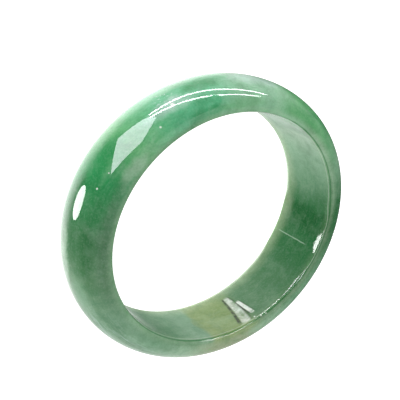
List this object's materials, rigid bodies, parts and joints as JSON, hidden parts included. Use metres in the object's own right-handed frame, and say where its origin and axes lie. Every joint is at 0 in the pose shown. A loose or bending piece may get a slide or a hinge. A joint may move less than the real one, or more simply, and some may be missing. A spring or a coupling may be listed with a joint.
{
  "type": "bangle bracelet",
  "caption": "Slip-on bangle bracelet carved from one ring of polished green jadeite, with a straight inner wall and a domed outer face.",
  "frame": {"origin": "centre of the wrist opening on the resting plane, at the lower rim of the bangle lying flat", "axes": "+Z along the ring's axis, out of the rim whose inner edge is nearest the hollow's upper end; +X along the long axis of the oval opening; +Y along its short axis, towards the hollow in the inner wall"},
  "size_m": [0.0706, 0.0646, 0.017],
  "materials": {
    "jade": "polished, translucent"
  },
  "bodies": {
    "root": {"jade_bangle": "jade"}
  },
  "joints": []
}
